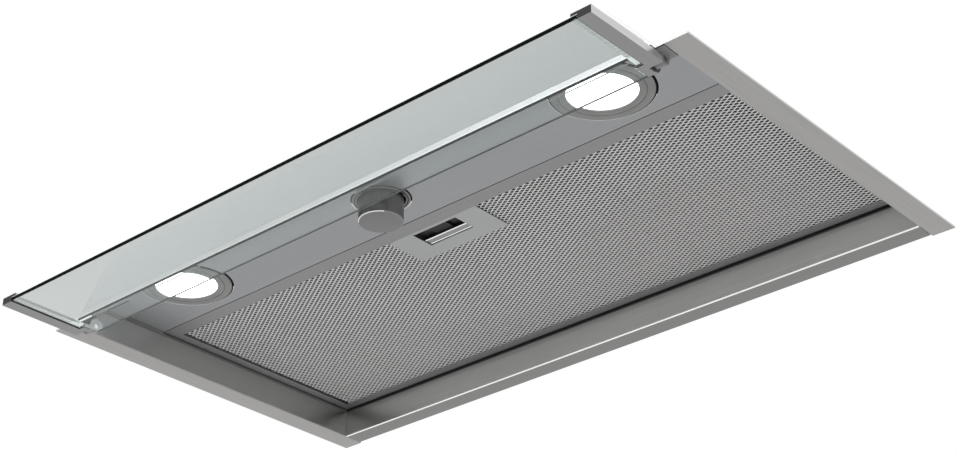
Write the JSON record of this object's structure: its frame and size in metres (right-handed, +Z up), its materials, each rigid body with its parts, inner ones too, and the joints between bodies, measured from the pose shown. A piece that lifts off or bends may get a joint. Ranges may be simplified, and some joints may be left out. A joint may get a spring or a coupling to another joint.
{
  "type": "range hood",
  "caption": "Built-in range hood with a folding glass visor, tray frame, drop-down grease filter, round lamps, rotary control, centrifugal blower and a round outlet on top.",
  "frame": {"origin": "middle of the rear flange's upper face, which lies against the cabinet's underside", "axes": "+X to the right seen from the front, +Y to the rear wall, +Z up"},
  "size_m": [0.598, 0.3787, 0.1491],
  "materials": {
    "rail_steel": "brushed along the rail",
    "lip_steel": "bright",
    "black_trim": "matt black",
    "canopy_paint": "light grey paint",
    "panel_steel": "brushed across the hood",
    "lamp_ring": "satin grey",
    "lamp_opal": "opal, lit",
    "lamp_casting": "cast",
    "circuit_board": "solder mask",
    "knob_steel": "turned and brushed",
    "ring_steel": "brushed",
    "shaft_brass": "turned",
    "switch_plastic": "moulded",
    "zinc_steel": "galvanised",
    "filter_steel": "satin",
    "filter_mesh": "expanded mesh",
    "handle_steel": "satin",
    "latch_steel": "bright",
    "spring_steel": "spring temper",
    "visor_glass": "clear toughened glass with a green-grey tint",
    "visor_bar": "satin anodised",
    "seal_rubber": "matt black",
    "hinge_plastic": "moulded dark grey",
    "pin_steel": "ground",
    "blower_plastic": "moulded",
    "wheel_plastic": "moulded",
    "motor_steel": "dark paint",
    "collar_plastic": "moulded black",
    "flap_plastic": "moulded black",
    "capacitor_plastic": "white can",
    "gland_plastic": "moulded black"
  },
  "bodies": {
    "hood": {"side_rail_left": "rail_steel", "side_rail_right": "rail_steel", "rear_rail": "rail_steel", "front_lip": "lip_steel", "front_trim": "black_trim", "canopy_front": "canopy_paint", "canopy_flank_left": "canopy_paint", "canopy_flank_right": "canopy_paint", "canopy_rear": "canopy_paint", "canopy_deck": "canopy_paint", "control_panel": "panel_steel", "lamp_bezel_left": "lamp_ring", "lamp_bezel_right": "lamp_ring", "lamp_lens_left": "lamp_opal", "lamp_lens_right": "lamp_opal", "lamp_body_left": "lamp_casting", "lamp_body_right": "lamp_casting", "led_board_left": "circuit_board", "led_board_right": "circuit_board", "knob_ring": "ring_steel", "rotary_switch": "switch_plastic", "switch_bracket": "zinc_steel", "hinge_block_left": "hinge_plastic", "hinge_block_right": "hinge_plastic", "hinge_pins": "pin_steel", "blower_scroll": "blower_plastic", "scroll_cover": "blower_plastic", "motor": "motor_steel", "motor_screws": "zinc_steel", "motor_housing": "zinc_steel", "housing_roof": "zinc_steel", "outlet_collar": "collar_plastic", "damper_pin": "pin_steel", "control_box": "switch_plastic", "control_box_lid": "switch_plastic", "control_board": "circuit_board", "run_capacitor": "capacitor_plastic", "cable_gland": "gland_plastic", "cabinet_clips": "spring_steel", "housing_screws": "zinc_steel"},
    "knob_body": {"knob": "knob_steel", "switch_shaft": "shaft_brass"},
    "filter": {"filter_frame": "filter_steel", "filter_face_mesh": "filter_mesh", "filter_core": "filter_mesh", "filter_back_mesh": "filter_mesh", "filter_tabs": "filter_steel", "handle_plate": "handle_steel", "latch_leaf": "spring_steel"},
    "latch": {"latch_slider": "latch_steel"},
    "visor": {"visor_glass": "visor_glass", "visor_bar_left": "visor_bar", "visor_bar_right": "visor_bar", "visor_seal_left": "seal_rubber", "visor_seal_right": "seal_rubber"},
    "fan": {"fan_wheel": "wheel_plastic", "motor_shaft": "pin_steel"},
    "flap_left": {"damper_flap_left": "flap_plastic"},
    "flap_right": {"damper_flap_right": "flap_plastic"}
  },
  "joints": [
    {"name": "visor_fold", "type": "hinge", "parent": "hood", "child": "visor", "pos_m": [0, -0.2944, -0.0034], "axis": [1, 0, 0], "range_deg": [0, 180]},
    {"name": "knob_turn", "type": "hinge", "parent": "hood", "child": "knob_body", "pos_m": [0, -0.2543, 0.01], "axis": [0, 0, 1], "range_deg": [0, 240]},
    {"name": "filter_swing", "type": "hinge", "parent": "hood", "child": "filter", "pos_m": [0, -0.0101, 0.0233], "axis": [1, 0, 0], "range_deg": [0, 60]},
    {"name": "latch_pull", "type": "slide", "parent": "filter", "child": "latch", "axis": [0, 1, 0], "range_m": [0, 0.005], "stiffness_N_per_m": 300, "springref_m": -0.004},
    {"name": "fan_spin", "type": "hinge", "parent": "hood", "child": "fan", "pos_m": [-0.062, -0.0837, 0.08], "axis": [0, 0, 1], "continuous": true},
    {"name": "flap_left_lift", "type": "hinge", "parent": "hood", "child": "flap_left", "pos_m": [0.1, -0.0767, 0.1248], "axis": [0, 1, 0], "range_deg": [0, 75]},
    {"name": "flap_right_lift", "type": "hinge", "parent": "hood", "child": "flap_right", "pos_m": [0.1, -0.0767, 0.1248], "axis": [0, -1, 0], "range_deg": [0, 75]}
  ]
}
